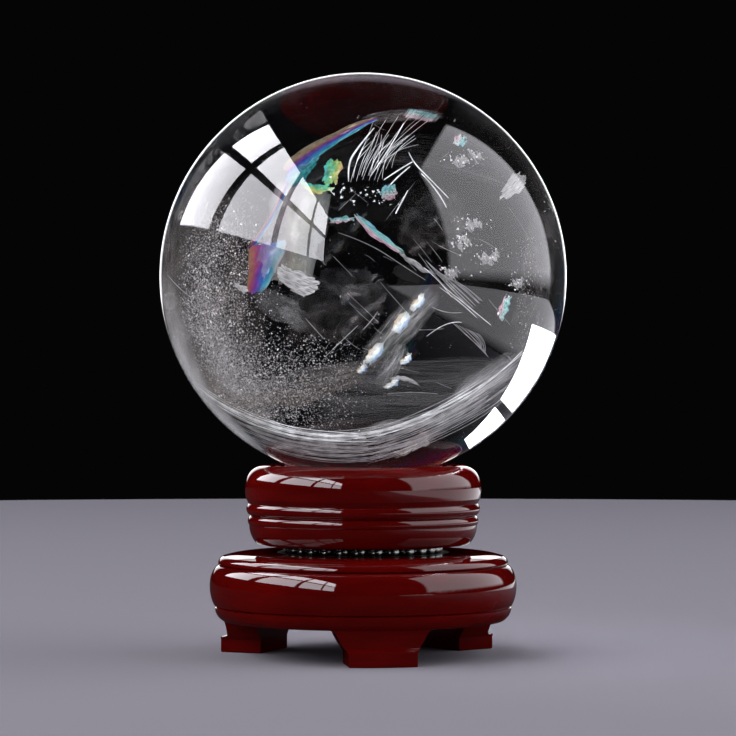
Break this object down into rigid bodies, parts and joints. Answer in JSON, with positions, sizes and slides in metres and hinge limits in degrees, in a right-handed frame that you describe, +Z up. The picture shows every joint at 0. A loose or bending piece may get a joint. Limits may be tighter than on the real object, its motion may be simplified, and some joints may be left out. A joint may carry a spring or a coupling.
{
  "type": "crystal sphere on a swivel stand",
  "caption": "Polished clear quartz ball resting in the cup of a two-tier turned, red lacquered stand whose upper tier swivels on a ball race.",
  "frame": {"origin": "on the floor, at the centre of the stand, under the ball's centre", "axes": "+Z up along the swivel axis; the front is at -Y, with one foot 8 degrees to the right of it"},
  "size_m": [0.1, 0.1, 0.143],
  "materials": {
    "quartz": "polished clear quartz with veils and fractures inside",
    "lacquered_wood": "high gloss dark red lacquer",
    "race_steel": "pressed steel, oiled",
    "ball_steel": "polished bearing steel",
    "screw_steel": "zinc plated"
  },
  "bodies": {
    "base": {"base": "lacquered_wood", "lower_race": "race_steel", "pivot_rivet": "race_steel", "base_screw_1": "screw_steel", "base_screw_2": "screw_steel", "base_screw_3": "screw_steel"},
    "turntable": {"seat_cup": "lacquered_wood", "crystal_sphere": "quartz", "upper_race": "race_steel", "cup_screw_1": "screw_steel", "cup_screw_2": "screw_steel", "cup_screw_3": "screw_steel"},
    "ball_train": {"ball_01": "ball_steel", "ball_02": "ball_steel", "ball_03": "ball_steel", "ball_04": "ball_steel", "ball_05": "ball_steel", "ball_06": "ball_steel", "ball_07": "ball_steel", "ball_08": "ball_steel", "ball_09": "ball_steel", "ball_10": "ball_steel", "ball_11": "ball_steel", "ball_12": "ball_steel", "ball_13": "ball_steel", "ball_14": "ball_steel", "ball_15": "ball_steel", "ball_16": "ball_steel", "ball_17": "ball_steel", "ball_18": "ball_steel", "ball_19": "ball_steel", "ball_20": "ball_steel", "ball_21": "ball_steel", "ball_22": "ball_steel", "ball_23": "ball_steel", "ball_24": "ball_steel", "ball_25": "ball_steel", "ball_26": "ball_steel", "ball_27": "ball_steel"}
  },
  "joints": [
    {"name": "turntable_spin", "type": "hinge", "parent": "base", "child": "turntable", "pos_m": [0, 0, 0.0262], "axis": [0, 0, 1], "continuous": true},
    {"name": "ball_orbit", "type": "hinge", "parent": "base", "child": "ball_train", "pos_m": [0, 0, 0.0262], "axis": [0, 0, 1], "continuous": true}
  ],
  "couplings": [
    {"joint": "ball_orbit", "follows": "turntable_spin", "ratio": 0.5}
  ]
}
